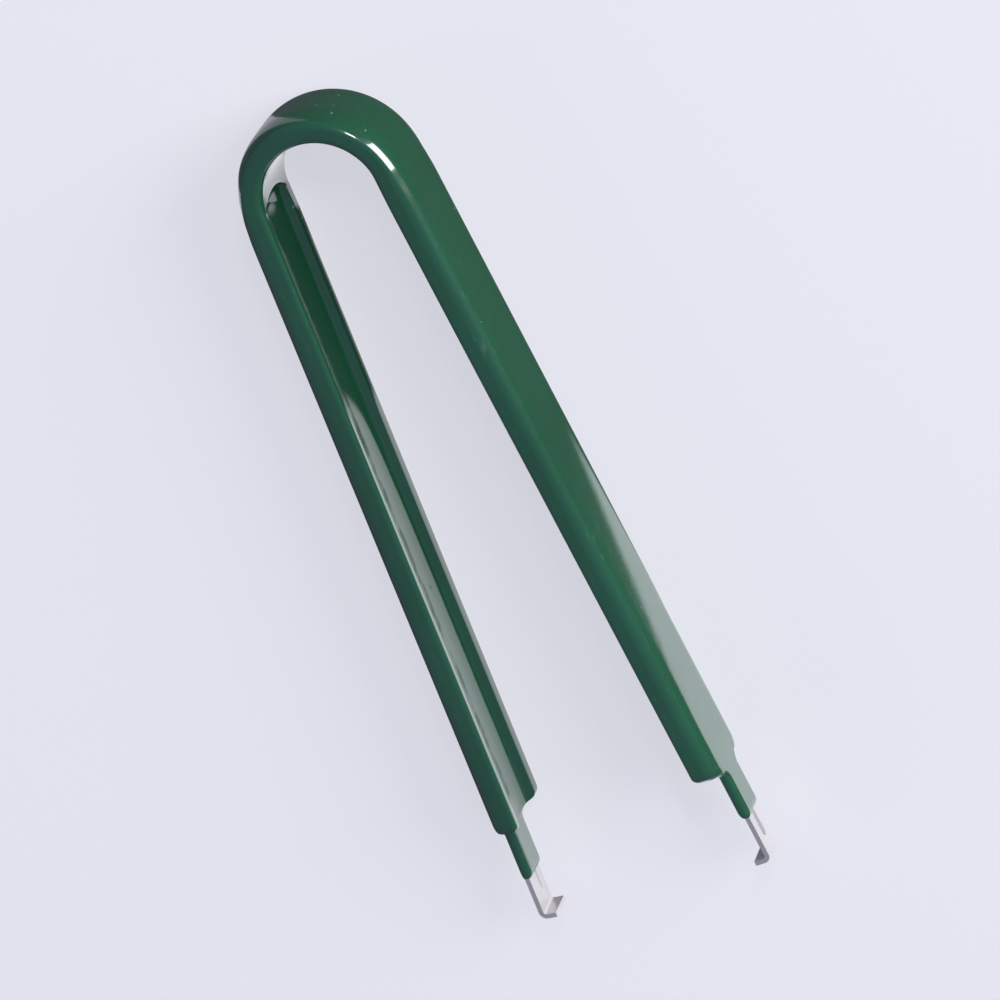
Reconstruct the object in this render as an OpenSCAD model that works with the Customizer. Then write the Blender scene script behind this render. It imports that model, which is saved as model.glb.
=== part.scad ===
// U-shaped keyboard switch puller: one folded spring steel strip with two
// hooked tips, dipped in a soft plastic coating that leaves the tips bare.
// The puller lies on its side, with Z across the arms, the arch towards +Y and
// the tips towards -Y. The origin is the middle of its outline, on the surface
// that it lies on. Each piece is drawn about the arch's centre, then placed.

/* [Grip] */
// Width of a coated arm, across the puller
arm_w = 10.8; // [9.6:0.1:14]
// Outer radius of the coated arch
arch_r = 10.7; // [9:0.1:16]
// Angle by which each arm leans outwards
splay = 3.1; // [1:0.1:6]
// Height of the coated side walls, from the arm's outer face to the rim
wall_h = 3.5; // [2.8:0.1:5]
// Length of the walled arms, from the arch's centre
arm_l = 84.4; // [50:0.1:110]

/* [Coating] */
// Thickness of the coating on the outer faces of the steel
coat_t = 0.32; // [0.28:0.01:0.5]
// Thickness of the coating on the inner faces, where it gathers
coat_in = 0.65; // [0.3:0.05:0.9]
// Length from the end of the walls to the end of the coating
coat_neck_l = 7.4; // [4:0.1:12]
// Radius of the long outer edges
edge_r = 1.8; // [1.2:0.1:2]
// Length of the arm below the arch where the channel is filled flush
fill_l = 2; // [0:0.1:10]
// Radius of the ramp where the channel runs out into the filled arch
ramp_r = 6; // [4:0.1:12]
// Radius of the channel's corners at that ramp, seen from inside
ramp_corner_r = 2.8; // [1:0.1:3.4]
// Radius of the edges of the rims and of the neck
soft_r = 0.5; // [0.2:0.05:0.5]
// Radius of the corners where the coating ends
coat_end_r = 1; // [0.5:0.1:1.5]

/* [Steel strip] */
// Thickness of the steel
steel_t = 0.6; // [0.4:0.05:0.8]
// Width of the neck and of the tip
neck_w = 4.1; // [3:0.1:5]
// Length from the end of the coating to the underside of the hook
tip_l = 6.2; // [4.6:0.1:12]
// Length of the hook, inwards from the inner face of the tip
hook_l = 1.55; // [1:0.05:3]
// Inner radius of the hook's bend
hook_bend_r = 0.4; // [0.2:0.05:0.6]
// Radius of the convex corner of the shoulder
shoulder_r = 1.1; // [0.6:0.1:1.6]
// Radius of the free corners of the folded walls
flange_corner_r = 1; // [0.5:0.1:1.8]
// Distance from the arch's centre to the start of the folded walls
flange_start = 4; // [1:0.1:12]

/* [Stiffening rib] */
// Width of the rib on the face of the tip
rib_w = 1.3; // [0.8:0.1:2]
// Height of the rib above the steel, and depth of the groove behind it
rib_h = 0.22; // [0.1:0.01:0.3]
// Length of the rib hidden under the coating
rib_hidden_l = 3; // [1:0.1:5]
// Distance from the underside of the hook to the end of the rib
rib_clear = 2.6; // [2:0.1:4]

/* [Hidden] */
$fn = 64;
// Overlap of shapes that are joined, and of the arch's two sides in degrees
overlap = 1;
crown_overlap = 5;

// Steel: outer and inner face of the web, folded width and length
steel_x1 = arch_r - coat_t;
steel_x0 = steel_x1 - steel_t;
steel_w = arm_w - 2 * coat_t;
steel_arm_l = arm_l - coat_t;
bend_r = edge_r - coat_t;
strip_w = steel_w - 2 * bend_r;
shoulder_fill_r = (steel_w - neck_w) / 2 - shoulder_r;

// Coating: wall over the steel, rim, channel floor, neck and its end
wall_t = coat_t + steel_t + coat_in;
rim_x = arch_r - wall_h;
floor_x = arch_r - wall_t;
flange_x = rim_x + coat_t;
channel_w = arm_w - 2 * wall_t;
channel_h = floor_x - rim_x;
coat_neck_w = neck_w + 2 * coat_t;
coat_fill_r = shoulder_fill_r - coat_t;
coat_end = arm_l + coat_neck_l;
ramp_run = sqrt(pow(ramp_r, 2) - pow(ramp_r - channel_h, 2));

// Hollow of the channel: its radius, the angle of the bevel on its lips, which
// is half its slope there, and where that bevel starts on the rim
hollow_r = (pow(channel_w / 2, 2) + pow(channel_h, 2)) / (2 * channel_h);
lip_a = asin(channel_w / 2 / hollow_r) / 2;
lip_z = channel_w / 2 + soft_r * tan(lip_a);

// Tip: underside of the hook, outside of its bend and the rib's own radius
tip_end = coat_end + tip_l;
hook_outer_r = hook_bend_r + steel_t;
rib_r = (pow(rib_w / 2, 2) + pow(rib_h, 2)) / (2 * rib_h);

// Place of the arch's centre, halfway between the crown and the hooks' ends
lowest_y = (steel_x0 - hook_l) * sin(splay) - tip_end * cos(splay);
arch_y = -(arch_r + lowest_y) / 2;

// Rectangle between two X and two Y values
module rect(x0, x1, y0, y1) {
    translate([x0, y0]) square([x1 - x0, y1 - y0]);
}

// Space between a square corner at the origin and its round of radius r.
// It is cut from an outer corner to round it, or fills an inner one.
module corner(r, over = overlap) {
    difference() {
        rect(-over, r, -over, r);
        translate([r, r]) circle(r);
    }
}

// Box from x0 to x1, w wide, with corner radius r0 at x0 and r1 at x1
module panel(x0, x1, w, r0, r1) {
    difference() {
        rect(x0, x1, -w / 2, w / 2);
        for (side = [0, 1]) mirror([0, side]) {
            translate([x0, -w / 2]) corner(r0);
            translate([x1, -w / 2]) mirror([1, 0]) corner(r1);
        }
    }
}

// Carries a section along the arm, between two distances from the arch
module along(from, to) {
    translate([0, -from, 0]) rotate([90, 0, 0]) linear_extrude(to - from) children();
}

// Carries an outline seen from the outer side through the arm's depth
module across(x0, x1) {
    translate([x1, 0, 0]) rotate([0, -90, 0]) linear_extrude(x1 - x0) children();
}

// Carries an outline seen from above through the arm's width
module through() {
    linear_extrude(arm_w, center = true) children();
}

// Carries a section round one side of the arch, from the arm to just past the
// crown, so that the two sides overlap there
module around() {
    rotate_extrude(angle = 90 - splay + crown_overlap) children();
}

// The same arm on both sides of the arch, in its place
module both_arms() {
    translate([0, arch_y, arm_w / 2])
        for (side = [0, 1]) mirror([side, 0, 0]) rotate([0, 0, splay]) children();
}

// Arm seen from its outer side: wide as far as the shoulder, then a neck
module arm_outline(w, shoulder, convex_r, concave_r, neck, end) {
    difference() {
        rect(-w / 2, w / 2, -shoulder, overlap);
        for (side = [0, 1]) mirror([side, 0])
            translate([w / 2, -shoulder]) mirror([1, 0]) corner(convex_r);
    }
    rect(-neck / 2, neck / 2, -end, -shoulder + overlap);
    for (side = [0, 1]) mirror([side, 0])
        translate([neck / 2, -shoulder]) mirror([0, 1]) corner(concave_r, steel_t / 2);
}

module steel_outline() {
    arm_outline(steel_w, steel_arm_l, shoulder_r, shoulder_fill_r, neck_w, tip_end);
}

// Web and folded walls of the steel, seen in section across the arm
module steel_section() {
    difference() {
        panel(flange_x, steel_x1, steel_w, steel_t / 4, bend_r);
        panel(flange_x - overlap, steel_x0, steel_w - 2 * steel_t, steel_t / 4, bend_r - steel_t);
    }
}

// Folded channel of one arm, with the free corners of its walls rounded
module folded_channel() {
    intersection() {
        along(flange_start, steel_arm_l) steel_section();
        through() difference() {
            rect(flange_x, arch_r, -arm_l, 0);
            translate([flange_x, -steel_arm_l]) corner(flange_corner_r);
            translate([flange_x, -flange_start]) mirror([0, 1]) corner(flange_corner_r);
        }
        across(0, arch_r) steel_outline();
    }
}

// Flat neck and tip of one arm, bent inwards into the hook
module hooked_tip() {
    intersection() {
        through() difference() {
            union() {
                rect(steel_x0, steel_x1, -tip_end, -steel_arm_l);
                rect(steel_x0 - hook_l, steel_x1, -tip_end, -tip_end + steel_t);
                translate([steel_x0, -tip_end + steel_t])
                    mirror([1, 0]) corner(hook_bend_r, steel_t / 2);
            }
            translate([steel_x1, -tip_end]) mirror([1, 0]) corner(hook_outer_r);
        }
        across(0, arch_r) steel_outline();
    }
}

// Round-ended bar whose crown stands out of the face at x as a rib
module rib_bar(x) {
    from = coat_end - rib_hidden_l;
    to = tip_end - rib_clear - rib_w / 2;
    translate([x + rib_h - rib_r, 0, 0]) {
        along(from, to) circle(rib_r);
        for (t = [from, to]) translate([0, -t, 0]) sphere(rib_r);
    }
}

// Flat strip of the web's thickness, seen in section
module flat_strip(w) {
    rect(steel_x0, steel_x1, -w / 2, w / 2);
}

// One side of the strip. It is flat round the arch, and its web runs flat into
// the neck. The tip's rib stands out of the outer face, with its groove inside.
module steel_arm() {
    difference() {
        union() {
            around() flat_strip(strip_w);
            along(0, flange_start + overlap) flat_strip(strip_w);
            along(flange_start, steel_arm_l + overlap) flat_strip(neck_w);
            folded_channel();
            hooked_tip();
            intersection() {
                rib_bar(steel_x1);
                across(steel_x1 - steel_t / 2, arch_r) rect(-neck_w, neck_w, -tip_end, 0);
            }
        }
        rib_bar(steel_x0);
    }
}

module steel_strip() {
    color("silver") both_arms() steel_arm();
}

// Outside of the coated arms and arch, seen in section
module coated_section() {
    panel(rim_x, arch_r, arm_w, soft_r, edge_r);
}

// Outside of one coated arm, as far as the end of its walls
module coated_arm() {
    intersection() {
        along(0, arm_l) coated_section();
        through() difference() {
            rect(rim_x, arch_r, -arm_l, 0);
            translate([rim_x, -arm_l]) corner(flange_corner_r + coat_t);
        }
        across(rim_x, arch_r)
            arm_outline(arm_w, arm_l, shoulder_r + coat_t, coat_fill_r, coat_neck_w, coat_end);
    }
}

// Hollow between the walls, seen in section: one round hollow, because the
// coating gathers in the corners, that opens to the inside with bevelled lips
module hollow_section() {
    intersection() {
        translate([floor_x - hollow_r, 0]) circle(hollow_r);
        rect(rim_x - overlap, arch_r, -arm_w / 2, arm_w / 2);
    }
    for (side = [0, 1]) mirror([0, side])
        polygon([
            [rim_x - overlap, 0],
            [rim_x - overlap, lip_z],
            [rim_x, lip_z],
            [rim_x + 2 * soft_r * tan(lip_a), lip_z - 2 * soft_r],
        ]);
}

// Room between the walls. It ramps up to the rims where the coating fills the
// arch.
module channel_room() {
    ramp_y = -fill_l - ramp_run;
    intersection() {
        along(0, arm_l + overlap) hollow_section();
        through() {
            rect(rim_x - overlap, arch_r, -arm_l - overlap, ramp_y);
            intersection() {
                translate([floor_x - ramp_r, ramp_y]) circle(ramp_r);
                rect(rim_x - overlap, arch_r, ramp_y - overlap, 0);
            }
        }
        across(rim_x - overlap, arch_r) difference() {
            rect(-arm_w / 2, arm_w / 2, -arm_l - overlap, -fill_l);
            for (side = [0, 1]) mirror([side, 0])
                translate([lip_z, -fill_l]) rotate(180) corner(ramp_corner_r, arm_w);
        }
    }
}

// Fills the inside corner between the shoulder and the neck, which it meets
// with the same soft edges
module shoulder_fill() {
    translate([0, -arm_l, coat_neck_w / 2]) difference() {
        translate([floor_x, -coat_fill_r, -soft_r])
            cube([wall_t, coat_fill_r + soft_r, coat_fill_r + soft_r]);
        translate([0, -coat_fill_r, coat_fill_r]) rotate([0, 90, 0]) rotate_extrude() {
            rect(0, coat_fill_r, floor_x - overlap, arch_r + overlap);
            translate([coat_fill_r, floor_x]) corner(soft_r, coat_fill_r / 2);
            translate([coat_fill_r, arch_r]) mirror([0, 1]) corner(soft_r, coat_fill_r / 2);
        }
    }
}

// Coated neck, with its end rounded on every side
module coated_neck() {
    intersection() {
        along(arm_l - soft_r, coat_end) panel(floor_x, arch_r, coat_neck_w, soft_r, soft_r);
        through() difference() {
            rect(floor_x, arch_r, -coat_end, 0);
            translate([floor_x, -coat_end]) corner(soft_r);
            translate([arch_r, -coat_end]) mirror([1, 0]) corner(soft_r);
        }
        across(floor_x, arch_r) difference() {
            rect(-coat_neck_w / 2, coat_neck_w / 2, -coat_end, 0);
            for (side = [0, 1]) mirror([side, 0])
                translate([-coat_neck_w / 2, -coat_end]) corner(coat_end_r);
        }
    }
    for (side = [0, 1]) mirror([0, 0, side]) shoulder_fill();
}

module grip_coating() {
    color("seagreen") difference() {
        both_arms() {
            around() coated_section();
            difference() {
                coated_arm();
                channel_room();
            }
            coated_neck();
        }
        steel_strip();
    }
}

steel_strip();
grip_coating();
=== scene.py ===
"""Looks of the keyboard switch puller: a glossy dipped coating over a folded steel strip."""

from math import cos, pi, radians, sin, sqrt

import bmesh
import bpy
from mathutils import Matrix, Vector


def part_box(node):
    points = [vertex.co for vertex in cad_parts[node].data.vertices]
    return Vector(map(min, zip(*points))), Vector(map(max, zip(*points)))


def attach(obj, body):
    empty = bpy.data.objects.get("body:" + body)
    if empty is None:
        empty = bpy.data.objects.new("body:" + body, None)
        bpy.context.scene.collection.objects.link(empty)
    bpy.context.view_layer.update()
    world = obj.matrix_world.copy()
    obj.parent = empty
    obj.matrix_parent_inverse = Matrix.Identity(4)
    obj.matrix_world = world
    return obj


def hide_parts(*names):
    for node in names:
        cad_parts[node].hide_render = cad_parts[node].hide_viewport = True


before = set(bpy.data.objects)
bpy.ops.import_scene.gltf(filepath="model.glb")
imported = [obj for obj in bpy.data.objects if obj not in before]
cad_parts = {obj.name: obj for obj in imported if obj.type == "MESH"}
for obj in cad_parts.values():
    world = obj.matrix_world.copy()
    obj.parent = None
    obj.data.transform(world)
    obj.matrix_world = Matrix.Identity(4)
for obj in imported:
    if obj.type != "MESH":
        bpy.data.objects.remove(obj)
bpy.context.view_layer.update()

MM = 0.001

# Driving sizes of the puller, in millimetres, as in the CAD
ARM_W = 10.8
ARM_L = 84.4
ARCH_R = 10.7
SPLAY = radians(3.1)
WALL_H = 3.5
STEEL_T = 0.6
COAT_T = 0.32
COAT_IN = 0.65
NECK_W = 4.1

# Length of each arm's coating, the only thing in which the arms differ
COAT_END = {1: 91.6, -1: 92.1}

# Outer edges: round along the arm and the neck, elliptic round the arch, across u and z
EDGE_R = 1.8
NECK_R = 0.75
ARCH_EDGE_U = 1.6
ARCH_EDGE_Z = 3.4

# Rims of the channel, along the arm and round the arch
SOFT_R = 0.65
ARCH_SOFT_R = 1.0

# Stretch over which the arch's edges pass into the arm's
PASS_START = -3
PASS_RUN = 7

# Corners where the walls end: the arm's width and the walls round off, and the neck fills out
SHOULDER_R = 1.42
SHOULDER_FILL_R = 1.61
FLANGE_R = 1.1

# Hollow of the channel: how square it is, and the round ramp on which it starts
HOLLOW_POWER = 2.6
RAMP_START = -2.2
RAMP_BULGE = 1.5
RAMP_R = 2.6
BELOW_RIM_SLOPE = 3

# How softly the faces inside the coating meet
LIP_BLEND = 0.5
NECK_BLEND = 0.02
RAMP_BLEND = 0.4

# Rounded end of the coating, and its last thickness and edge
END_R = 1.0
END_T = 0.03
END_EDGE_R = 0.12

# Values that follow from them
HALF_W = ARM_W / 2
RIM_X = ARCH_R - WALL_H
WALL_T = STEEL_T + COAT_T + COAT_IN
FLOOR_X = ARCH_R - WALL_T
ROOM_W = HALF_W - WALL_T
DEPTH = FLOOR_X - RIM_X
RAMP_RUN = sqrt(RAMP_R ** 2 - (RAMP_R - DEPTH) ** 2)
COAT_NECK = NECK_W / 2 + COAT_T
CENTRE_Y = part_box("grip_coating")[1].y / MM - ARCH_R
CENTRE_Z = HALF_W

# Points of half a section, on each of its pieces, from the outer face to the floor
FACE_N = 8
EDGE_N = 14
SIDE_N = 5
RIM_N = 6
HOLLOW_N = 32

# Sections along one side: round half of the arch, then on each stretch of the arm
ARCH_N = 60
ARM_N = (34, 60, 14, 24, 12, 8, 16)

# Ends of the stretches on which the sections stand closer, from the ramp and the wall's end
PAST_RAMP = 1.5
BEFORE_SHOULDER = 3
BEFORE_WALL_END = 0.6
PAST_WALL_END = 0.4
PAST_FILL = 2

WELD = 0.001 * MM


def smooth(x):
    """Smooth step from 0 to 1."""
    x = min(max(x, 0.0), 1.0)
    return x * x * (3 - 2 * x)


def mix(a, b, x):
    """Value at share x of the way from a to b."""
    return a + (b - a) * x


def line(p, q, n):
    """n points from p towards q, without q."""
    return [(mix(p[0], q[0], i / n), mix(p[1], q[1], i / n)) for i in range(n)]


def arc(centre, ru, rz, start, end, n):
    """n points, as (u, z), of an elliptic arc about centre, without its last."""
    angles = [mix(start, end, i / n) for i in range(n)]
    return [(centre[0] + ru * cos(a), centre[1] + rz * sin(a)) for a in angles]


def soft_min(a, b, k):
    """The smaller of two levels, rounded over about k where they cross."""
    return (a + b - sqrt((a - b) ** 2 + k * k)) / 2


def soft_max(a, b, k):
    """The larger of two levels, rounded over about k where they cross."""
    return (a + b + sqrt((a - b) ** 2 + k * k)) / 2


def hollow_level(z):
    """Hollow of the channel, flat in the middle and round towards its rims."""
    share = 1 - (z / ROOM_W) ** HOLLOW_POWER
    if share > 0:
        return RIM_X + DEPTH * share ** (1 / HOLLOW_POWER)
    return RIM_X - (z - ROOM_W)


def ramp_level(z, t):
    """Ramp on which the hollow runs out into the filled arch, with a round end."""
    s = t - RAMP_START - RAMP_BULGE * (z / ROOM_W) ** 2
    if s < 0:
        return RIM_X + s * BELOW_RIM_SLOPE
    if s > RAMP_RUN:
        return FLOOR_X + (s - RAMP_RUN)
    return RIM_X + sqrt(RAMP_R ** 2 - (RAMP_RUN - s) ** 2) - (RAMP_R - DEPTH)


def inner_level(z, t, rim, blend):
    """Inner face of the coating at z and t: the rims, and the hollow between them."""
    hollow = soft_min(hollow_level(z), ramp_level(z, t), RAMP_BLEND)
    return soft_max(hollow, rim, blend)


def half_section(t, out, rim, half, edge_u, edge_z, soft_r, blend):
    """Half of a section, z >= 0, from the middle of the outer face to the middle of the floor."""
    points = line((out, 0), (out, half - edge_z), FACE_N)
    points += arc((out - edge_u, half - edge_z), edge_u, edge_z, 0, pi / 2, EDGE_N)
    points += line((out - edge_u, half), (rim + soft_r, half), SIDE_N)
    points += arc((rim + soft_r, half - soft_r), soft_r, soft_r, pi / 2, pi, RIM_N)
    for i in range(HOLLOW_N + 1):
        z = (half - soft_r) * (1 - i / HOLLOW_N)
        points.append((inner_level(z, t, rim, blend), z))
    return points


def full_section(**sizes):
    """Closed section: the half and its mirror image."""
    half = half_section(**sizes)
    mirrored = [(u, -z) for u, z in reversed(half[1:-1])]
    return half + mirrored


def arm_half_width(t):
    """Half the width of the coated arm, seen from outside, at distance t."""
    start = ARM_L - SHOULDER_R
    if t <= start:
        return HALF_W
    if t <= ARM_L:
        return HALF_W - SHOULDER_R + sqrt(max(SHOULDER_R ** 2 - (t - start) ** 2, 0))
    if t < ARM_L + SHOULDER_FILL_R:
        drop = ARM_L + SHOULDER_FILL_R - t
        return COAT_NECK + SHOULDER_FILL_R - sqrt(max(SHOULDER_FILL_R ** 2 - drop ** 2, 0))
    return COAT_NECK


def rim_level(t):
    """Place of the rim across the arm, which rounds off and fills out where the walls end."""
    start = ARM_L - FLANGE_R
    fill = DEPTH - FLANGE_R
    if t <= start:
        return RIM_X
    if t <= ARM_L:
        return RIM_X + FLANGE_R - sqrt(FLANGE_R ** 2 - (t - start) ** 2)
    if t < ARM_L + fill:
        return FLOOR_X - fill + sqrt(fill ** 2 - (ARM_L + fill - t) ** 2)
    return FLOOR_X


def arm_section(t, end):
    """Sizes of the section at distance t down the arm; a negative t lies on the arch."""
    on_arch = 1 - smooth((t - PASS_START) / PASS_RUN)
    rim = rim_level(t)
    half = arm_half_width(t)
    out = ARCH_R
    wall = (out - rim - WALL_T) / DEPTH
    edge_u = mix(NECK_R, mix(EDGE_R, ARCH_EDGE_U, on_arch), wall)
    edge_z = mix(NECK_R, mix(EDGE_R, ARCH_EDGE_Z, on_arch), wall)
    soft_r = mix(NECK_R, mix(SOFT_R, ARCH_SOFT_R, on_arch), wall)
    into_end = max((t - (end - END_R)) / END_R, 0)
    if into_end > 0:
        shrink = 1 - sqrt(max(1 - into_end ** 2, 0))
        out -= (COAT_T - END_T) * shrink
        rim += (COAT_IN - END_T) * shrink
        half -= (COAT_T - END_T) * shrink
        edge_u = edge_z = soft_r = mix(NECK_R, END_EDGE_R, shrink)
    return dict(t=t, out=out, rim=rim, half=half, edge_u=edge_u, edge_z=edge_z,
                soft_r=soft_r, blend=mix(NECK_BLEND, LIP_BLEND, wall))


def stations(end):
    """Distances of the sections along one side, from the top of the arch to the coating's end."""
    marks = (0, RAMP_START + RAMP_BULGE + RAMP_RUN + PAST_RAMP,
             ARM_L - BEFORE_SHOULDER, ARM_L - BEFORE_WALL_END, ARM_L + PAST_WALL_END,
             ARM_L + PAST_FILL, end - END_R, end)
    arch_top = -ARCH_R * (pi / 2 - SPLAY)
    distances = [mix(arch_top, 0, i / ARCH_N) for i in range(ARCH_N)]
    for first, last, n in zip(marks, marks[1:], ARM_N):
        distances += [mix(first, last, i / n) for i in range(n)]
    return distances + [end]


def station_loop(t, end, side):
    """The section at distance t as a loop of points, in metres and in the row's frame."""
    angle = SPLAY - min(t, 0) / ARCH_R
    down = max(t, 0)
    points = []
    for u, z in full_section(**arm_section(t, end)):
        x = side * (u * cos(angle) + down * sin(SPLAY))
        y = CENTRE_Y + u * sin(angle) - down * cos(SPLAY)
        points.append((x * MM, y * MM, (z + CENTRE_Z) * MM))
    return points


def tube_mesh(name, loops):
    """A closed tube through the loops, with a fan of faces over each end."""
    n = len(loops[0])
    verts = [p for loop in loops for p in loop]
    faces = []
    for k in range(len(loops) - 1):
        for i in range(n):
            j = (i + 1) % n
            faces.append((k * n + i, k * n + j, (k + 1) * n + j, (k + 1) * n + i))
    for k in (0, len(loops) - 1):
        centre = len(verts)
        verts.append(tuple(sum(axis) / n for axis in zip(*loops[k])))
        faces += [(k * n + i, k * n + (i + 1) % n, centre) for i in range(n)]
    mesh = bpy.data.meshes.new(name)
    mesh.from_pydata(verts, [], faces)
    mesh.validate()
    for polygon in mesh.polygons:
        polygon.use_smooth = True
    return mesh


def fix_normals(mesh):
    """Welds points that meet and turns every face outwards."""
    work = bmesh.new()
    work.from_mesh(mesh)
    bmesh.ops.remove_doubles(work, verts=work.verts, dist=WELD)
    bmesh.ops.recalc_face_normals(work, faces=work.faces)
    work.to_mesh(mesh)
    work.free()


def add_object(name, data):
    """A new object in the scene."""
    item = bpy.data.objects.new(name, data)
    bpy.context.scene.collection.objects.link(item)
    return item


def dipped_coating():
    """The whole coating: down from the arch's top on both sides, joined at the top."""
    right, left = [[station_loop(t, COAT_END[side], side) for t in stations(COAT_END[side])]
                   for side in (1, -1)]
    mesh = tube_mesh("dipped_coating", left[:0:-1] + right)
    fix_normals(mesh)
    return add_object("dipped_coating", mesh)


class Nodes:
    """Short calls to make and join a material's nodes."""

    def __init__(self, name):
        self.material = bpy.data.materials.new(name)
        self.material.use_nodes = True
        self.tree = self.material.node_tree
        self.shader = self.tree.nodes["Principled BSDF"]

    def feed(self, value, socket):
        """Links another node's output to a socket, or sets the socket to a plain value."""
        if isinstance(value, bpy.types.NodeSocket):
            self.tree.links.new(value, socket)
        else:
            socket.default_value = value

    def set(self, name, value):
        """Feeds an input of the shader."""
        self.feed(value, self.shader.inputs[name])

    def add(self, kind, **settings):
        """A node with its inputs fed and its own properties set."""
        node = self.tree.nodes.new(kind)
        for name, value in settings.items():
            if name in node.inputs:
                self.feed(value, node.inputs[name])
            else:
                setattr(node, name, value)
        return node

    def math(self, operation, a, b):
        node = self.add("ShaderNodeMath", operation=operation)
        self.feed(a, node.inputs[0])
        self.feed(b, node.inputs[1])
        return node.outputs["Value"]

    def sum(self, a, b):
        return self.math("ADD", a, b)

    def product(self, a, b):
        return self.math("MULTIPLY", a, b)

    def larger(self, a, b):
        return self.math("MAXIMUM", a, b)

    def blend(self, share, first, second):
        """Colour at this share of the way from the first to the second."""
        node = self.add("ShaderNodeMixRGB", Fac=share, Color1=first, Color2=second)
        return node.outputs["Color"]

    def coordinates(self):
        return self.add("ShaderNodeTexCoord").outputs["Object"]

    def stretched(self, coord, scale):
        """Coordinates with a scale of their own along each axis."""
        return self.add("ShaderNodeMapping", Vector=coord, Scale=scale).outputs["Vector"]

    def noise(self, coord, scale, detail):
        node = self.add("ShaderNodeTexNoise", Vector=coord, Scale=scale, Detail=detail)
        return node.outputs["Fac"]

    def span(self, value, source, result=(0.0, 1.0), form="LINEAR"):
        """The value moved from one span to another and held inside it."""
        node = self.add("ShaderNodeMapRange", interpolation_type=form, Value=value)
        ends = zip(("From Min", "From Max", "To Min", "To Max"), source + result)
        for name, number in ends:
            node.inputs[name].default_value = number
        return node.outputs["Result"]

    def step(self, value, bounds):
        """Smooth step that goes from 0 at the first bound to 1 at the second, in millimetres."""
        return self.span(value, tuple(bound * MM for bound in bounds), form="SMOOTHSTEP")


def srgb(r, g, b):
    """A colour given as the 0 to 255 values that it shows, as linear values."""
    def linear(c):
        c /= 255
        return c / 12.92 if c <= 0.04045 else ((c + 0.055) / 1.055) ** 2.4
    return (linear(r), linear(g), linear(b), 1.0)


# Vinyl: the two tones it wanders between, and the paler one of scuffs, also put on bubbles as a
# painted highlight
VINYL_TONES = (srgb(26, 88, 57), srgb(32, 98, 66))
TONE_ENDS = (0.3, 0.7)
VINYL_WEAR_AND_PAINTED_HIGHLIGHT = srgb(140, 172, 156)
SCUFF_SHARE = 0.12
BUBBLE_PAINTED_HIGHLIGHT_SHARE = 0.7

# Sizes of the vinyl's patterns, in waves per metre, and of its scuffs along each axis
TONE_SCALE = 60.0
WAVE_SCALE = 170.0
SKIN_SCALE = 1500.0
PINHOLE_SCALE = 420.0
PATCH_SCALE = 70.0
SCUFF_SCALE = (2400, 420, 2400)

# Spans of the noise in which streaks and their patches show
STREAK_SPAN = (0.6, 0.74)
PATCH_SPAN = (0.55, 0.7)

# Heights of the vinyl's relief, in millimetres
WAVE_H = 0.045
SKIN_H = 0.0005
BUBBLE_H = 0.05
PINHOLE_H = 0.03

# Pinholes: from rim to middle in a cell, and the random value above which a cell has one
PINHOLE_SPAN = (0.13, 0.05)
PINHOLE_RARE = 0.9

# Gloss of the vinyl
VINYL_ROUGH = 0.2
SCUFF_ROUGH = 0.3
VINYL_IOR = 1.58
COAT_ROUGH = 0.05
COAT_IOR = 1.88

# Bubbles and specks in the vinyl, raised and painted pale as a painted highlight, as (x, y, z,
# radius) in millimetres, and their flat middle
BUBBLES = (
    (4.7, 53.0, 3.8, 0.22),
    (5.1, 52.6, 8.6, 0.26),
    (3.0, 53.6, 7.0, 0.2),
    (2.9, 52.7, 10.1, 0.24),
    (4.9, 52.9, 6.6, 0.16),
    (8.3, 49.6, 9.2, 0.18),
    (11.2, 35.1, 2.0, 0.24),
    (-7.1, 29.0, 3.0, 0.16),
    (13.5, -6.0, 9.6, 0.18),
)
BUBBLE_MIDDLE = 0.2


def bubble_mask(n, coord):
    """Small round spots of the bubbles, 1 in the middle; they raise the skin and carry a painted
    highlight.
    """
    total = 0.0
    for x, y, z, r in BUBBLES:
        gap = n.add("ShaderNodeVectorMath", operation="DISTANCE")
        n.feed(coord, gap.inputs[0])
        n.feed((x * MM, y * MM, z * MM), gap.inputs[1])
        total = n.sum(total, n.step(gap.outputs["Value"], (r, r * BUBBLE_MIDDLE)))
    return total


def pinhole_mask(n, coord):
    """Sparse tiny dots, where a fine cell pattern meets a rare random value."""
    cells = n.add("ShaderNodeTexVoronoi", Vector=coord, Scale=PINHOLE_SCALE)
    dot = n.span(cells.outputs["Distance"], PINHOLE_SPAN, form="SMOOTHSTEP")
    pick = n.add("ShaderNodeSeparateColor", Color=cells.outputs["Color"])
    return n.product(dot, n.math("GREATER_THAN", pick.outputs["Red"], PINHOLE_RARE))


def scuff_mask(n, coord):
    """Light rubbed streaks along the arms, gathered in patches."""
    streaks = n.noise(n.stretched(coord, SCUFF_SCALE), scale=1.0, detail=3.0)
    patches = n.noise(coord, PATCH_SCALE, detail=1.0)
    return n.product(n.span(streaks, STREAK_SPAN), n.span(patches, PATCH_SPAN))


def vinyl_colour(n, coord, scuffs, bubbles):
    """Slightly uneven green, paler on scuffs, with a painted highlight on bubbles."""
    tones = n.add("ShaderNodeValToRGB", Fac=n.noise(coord, TONE_SCALE, detail=3.0))
    for stop, place, colour in zip(tones.color_ramp.elements, TONE_ENDS, VINYL_TONES):
        stop.position = place
        stop.color = colour
    # Bubbles are mixed towards the pale colour as a painted highlight
    wear_and_highlight = n.larger(n.product(scuffs, SCUFF_SHARE), n.product(bubbles, BUBBLE_PAINTED_HIGHLIGHT_SHARE))
    return n.blend(wear_and_highlight, tones.outputs["Color"], VINYL_WEAR_AND_PAINTED_HIGHLIGHT)


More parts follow.
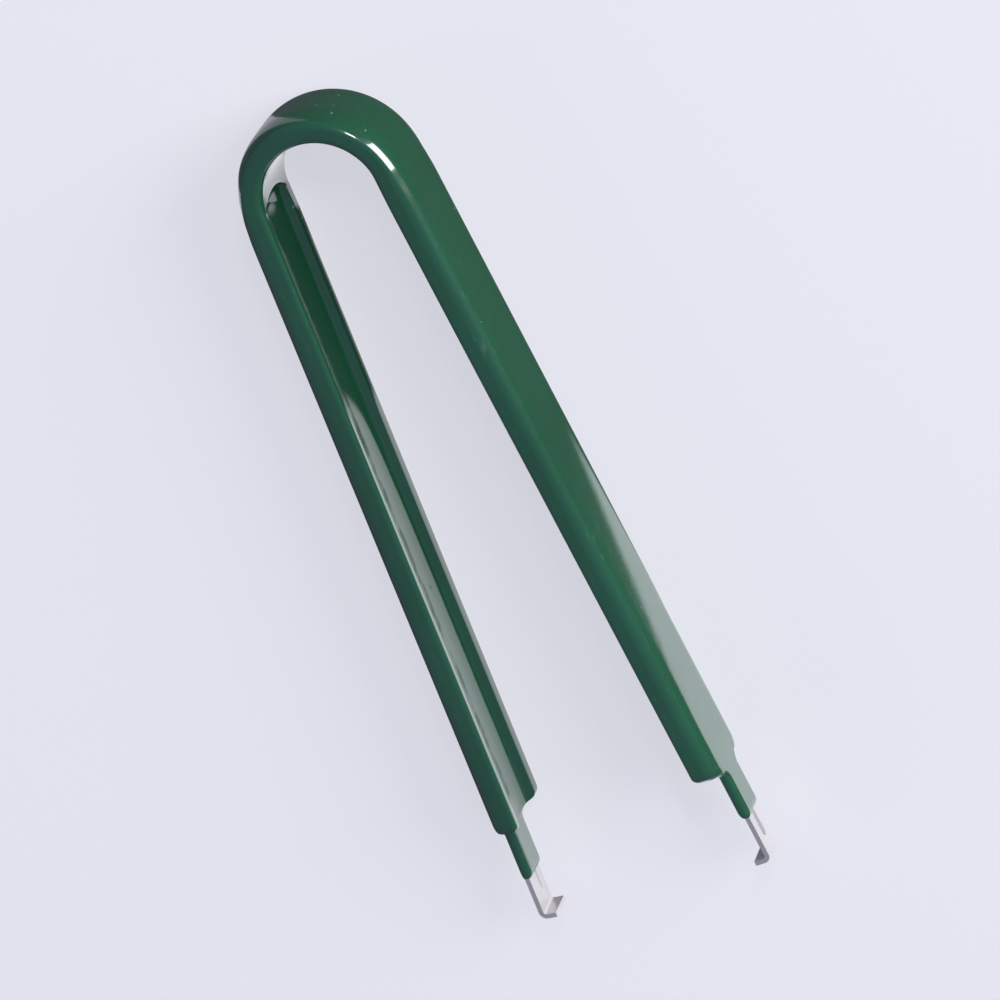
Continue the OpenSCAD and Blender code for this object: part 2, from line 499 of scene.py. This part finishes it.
def vinyl_relief(n, coord, bubbles):
    """Normal of the skin: faint waves, a fine grain, bubbles and pinholes."""
    waves = n.product(n.noise(coord, WAVE_SCALE, detail=2.0), WAVE_H * MM)
    skin = n.product(n.noise(coord, SKIN_SCALE, detail=3.0), SKIN_H * MM)
    spots = n.product(bubbles, BUBBLE_H * MM)
    pinholes = n.product(pinhole_mask(n, coord), PINHOLE_H * MM)
    height = n.sum(n.sum(n.sum(waves, skin), spots), pinholes)
    return n.add("ShaderNodeBump", Strength=1.0, Distance=1.0, Height=height).outputs["Normal"]


def vinyl_material():
    """Glossy dark green soft vinyl, with faint waves, bubbles with a painted highlight, pinholes
    and light scuffs.
    """
    n = Nodes("green_vinyl")
    coord = n.coordinates()
    scuffs = scuff_mask(n, coord)
    bubbles = bubble_mask(n, coord)
    normal = vinyl_relief(n, coord, bubbles)
    n.set("Base Color", vinyl_colour(n, coord, scuffs, bubbles))
    n.set("Normal", normal)
    n.set("Coat Normal", normal)
    n.set("Roughness", n.sum(n.product(scuffs, SCUFF_ROUGH), VINYL_ROUGH))
    n.set("IOR", VINYL_IOR)
    n.set("Coat Weight", 1.0)
    n.set("Coat Roughness", COAT_ROUGH)
    n.set("Coat IOR", COAT_IOR)
    return n.material


# Steel: its colour, how metallic it looks, and the grain that its roughness follows
STEEL_COLOUR = srgb(228, 224, 224)
STEEL_METAL = 0.5
GRAIN_SCALE = (3000, 300, 3000)
STEEL_ROUGH = (0.26, 0.34)


def steel_material():
    """Bright stamped spring steel with a fine rolled grain along the strip."""
    n = Nodes("bright_steel")
    grain = n.noise(n.stretched(n.coordinates(), GRAIN_SCALE), scale=1.0, detail=4.0)
    n.set("Roughness", n.span(grain, (0.0, 1.0), STEEL_ROUGH))
    n.set("Base Color", STEEL_COLOUR)
    n.set("Metallic", STEEL_METAL)
    return n.material


# Floor: its colour to the camera, to glossy faces (dark, a painted dark reflection) and to the
# light, and its own glow, also used for the painted reflection
FLOOR_HALF = 3.0
FLOOR_ROUGH = 0.9
FLOOR_SEEN = (0.34, 0.34, 0.36, 1)
FLOOR_PAINTED_DARK_REFLECTION = (0.15, 0.15, 0.16, 1)
FLOOR_LIT = srgb(229, 230, 238)
FLOOR_GLOW_COLOUR = srgb(244, 244, 253)
FLOOR_GLOW = 0.665

# Slants of those edges of the floor's painted reflection patch that don't run along x or y
BESIDE_ARM_SLANT = 0.144
LOWER_GAP_SLANT = 1.63
ALONG_RIM_SLANT = -0.054

# Edges of the glowing patch that glossy faces mirror as a painted reflection, as (start, full) in
# millimetres
BESIDE_ARM = (14.9, 13.9)
OUTSIDE_ARM = (13.6, 14.4)
LOWER_GAP = (4, 1)
ALONG_RIM = (-8.9, -9.3)
RIM_FADE = (38, 35)
GAP_SIDE = (-14.5, -13.5)
HOOK_END = (-44.5, -43.5)
HOOK_SIDE = (8.5, 7.5)
ARCH_START = (39.8, 41)
ARCH_END = (49, 46)

# How pale the painted reflection of the strip along the rim stays near the arch
ARCH_SHEEN = 0.35


def painted_reflection_gap_part(n, x, y):
    """Painted reflection between the arms: a glowing part, with a strip along the left rim that
    fades near the arch.
    """
    lower = n.step(n.sum(y, n.product(x, LOWER_GAP_SLANT)), LOWER_GAP)
    along_rim = n.step(n.sum(x, n.product(y, ALONG_RIM_SLANT)), ALONG_RIM)
    fade = n.sum(n.product(n.step(y, RIM_FADE), 1 - ARCH_SHEEN), ARCH_SHEEN)
    beside_hook = n.larger(n.step(y, HOOK_END), n.step(x, HOOK_SIDE))
    patch = n.larger(lower, n.product(along_rim, fade))
    return n.product(n.product(patch, n.step(x, GAP_SIDE)), beside_hook)


def painted_reflection_patch(n):
    """Painted reflection: the parts of the floor that glow pale in glossy faces, bounded by
    slanted edges.
    """
    place = n.add("ShaderNodeSeparateXYZ", Vector=n.coordinates())
    x, y = place.outputs["X"], place.outputs["Y"]
    beside_arm = n.step(n.sum(x, n.product(y, BESIDE_ARM_SLANT)), BESIDE_ARM)
    outside = n.step(x, OUTSIDE_ARM)
    inside_arch = n.product(n.step(y, ARCH_START), n.step(y, ARCH_END))
    return n.product(beside_arm, n.larger(n.larger(outside, painted_reflection_gap_part(n, x, y)), inside_arch))


def floor_material():
    """Pale floor that takes shadows and glows to the camera; in gloss it is a painted reflection,
    dark with a pale patch.
    """
    n = Nodes("pale_floor_painted_reflection")
    rays = n.add("ShaderNodeLightPath")
    camera, glossy = rays.outputs["Is Camera Ray"], rays.outputs["Is Glossy Ray"]
    # To glossy rays the floor's colour is a painted dark reflection
    n.set("Base Color", n.blend(camera, n.blend(glossy, FLOOR_LIT, FLOOR_PAINTED_DARK_REFLECTION), FLOOR_SEEN))
    n.set("Roughness", FLOOR_ROUGH)
    n.set("Specular IOR Level", 0.0)
    n.set("Emission Color", FLOOR_GLOW_COLOUR)
    # In glossy rays the floor glows only over the patch, as a painted reflection
    glow = n.sum(n.product(camera, FLOOR_GLOW), n.product(glossy, painted_reflection_patch(n)))
    n.set("Emission Strength", glow)
    return n.material


def add_floor():
    """A large flat floor under the puller."""
    corners = [(-1, -1), (1, -1), (1, 1), (-1, 1)]
    mesh = bpy.data.meshes.new("studio_floor")
    mesh.from_pydata([(x * FLOOR_HALF, y * FLOOR_HALF, 0) for x, y in corners], [], [(0, 1, 2, 3)])
    floor = add_object("studio_floor", mesh)
    floor.data.materials.append(floor_material())


# The photograph's view, fitted to the puller's outlines in its 1000 pixel frame
IMAGE_PX = 1000
SENSOR_MM = 36
VIEW_CENTRE = Vector((0, -1.5, 5.4))
VIEW_DISTANCE = 621.2
VIEW_PX_PER_MM = 8.431
VIEW_CENTRE_PX = (488.0, 515.6)
VIEW_RIGHT = Vector((0.894, -0.382, -0.236)).normalized()
VIEW_UP = Vector((0.221, 0.824, -0.523))
VIEW_TURN = Vector((-0.0814, -0.0218, 0.0104))
CLIP_M = (0.01, 20)


def add_camera():
    """The photograph's camera, shifted so that the puller stands where the photograph has it."""
    up = (VIEW_UP - VIEW_UP.dot(VIEW_RIGHT) * VIEW_RIGHT).normalized()
    turn = Matrix.Rotation(VIEW_TURN.length, 3, VIEW_TURN.normalized())
    rows = turn @ Matrix((VIEW_RIGHT, up, VIEW_RIGHT.cross(up)))
    place = rows.transposed().to_4x4()
    place.translation = (VIEW_CENTRE + VIEW_DISTANCE * rows[2]) * MM
    camera = add_object("camera", bpy.data.cameras.new("camera"))
    camera.matrix_world = place
    camera.data.sensor_width = SENSOR_MM
    camera.data.lens = VIEW_DISTANCE * VIEW_PX_PER_MM * SENSOR_MM / IMAGE_PX
    camera.data.shift_x = (IMAGE_PX / 2 - VIEW_CENTRE_PX[0]) / IMAGE_PX
    camera.data.shift_y = (VIEW_CENTRE_PX[1] - IMAGE_PX / 2) / IMAGE_PX
    camera.data.clip_start, camera.data.clip_end = CLIP_M
    bpy.context.scene.camera = camera


# Lamps as (name, place, size, power, shown in glossy faces), in metres and watts
LAMPS = (
    ("key", (0.84, 0.2, 0.34), (0.5, 0.66), 7.5, True),
    ("top", (0.46, 0.59, 0.67), (0.16, 0.16), 1.2, True),
    ("fill", (-0.8, -0.1, 0.3), (0.5, 0.4), 1.2, False),
)
WORLD_COLOUR = srgb(190, 202, 244)
WORLD_LEVEL = 0.22


def area_light(name, place, size, power, mirrored):
    """A soft rectangular lamp aimed at the origin, unseen by the camera."""
    light = add_object(name, bpy.data.lights.new(name, "AREA"))
    light.data.shape = "RECTANGLE"
    light.data.size, light.data.size_y = size
    light.data.energy = power
    light.location = place
    light.rotation_euler = (-Vector(place)).to_track_quat("-Z", "Y").to_euler()
    light.visible_camera = False
    light.visible_glossy = mirrored


def add_lights():
    """A large soft lamp at the right, a small one above, a weak one at the left, a dim sky."""
    for lamp in LAMPS:
        area_light(*lamp)
    world = bpy.data.worlds.new("studio")
    world.use_nodes = True
    sky = world.node_tree.nodes["Background"].inputs
    sky["Color"].default_value = WORLD_COLOUR
    sky["Strength"].default_value = WORLD_LEVEL
    bpy.context.scene.world = world


coating = dipped_coating()
coating.data.materials.append(vinyl_material())
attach(coating, "root")
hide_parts("grip_coating")

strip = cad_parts["steel_strip"]
strip.data.materials.clear()
strip.data.materials.append(steel_material())

add_floor()
add_camera()
add_lights()
bpy.context.scene.view_settings.view_transform = "Standard"
